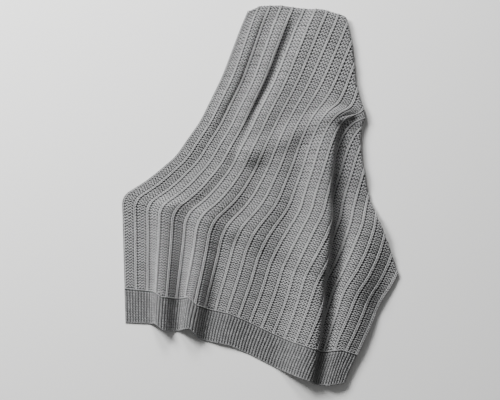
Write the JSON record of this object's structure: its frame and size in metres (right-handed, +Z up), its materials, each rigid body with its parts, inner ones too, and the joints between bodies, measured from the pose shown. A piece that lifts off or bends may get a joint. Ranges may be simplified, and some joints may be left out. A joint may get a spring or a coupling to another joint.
{
  "type": "knitted throw blanket",
  "caption": "Knitted throw with lengthwise ribs and openwork bands, laid out with one side and one end turned under.",
  "frame": {"origin": "centre of the laid blanket's box, on the surface it lies on", "axes": "+Z up, +Y from the front hem towards the end that is turned under, +X from the left selvedge to the right"},
  "size_m": [0.8772, 1.2382, 0.0688],
  "materials": {
    "knit": "soft matt knitted yarn"
  },
  "bodies": {
    "root": {"blanket": "knit"}
  },
  "joints": []
}
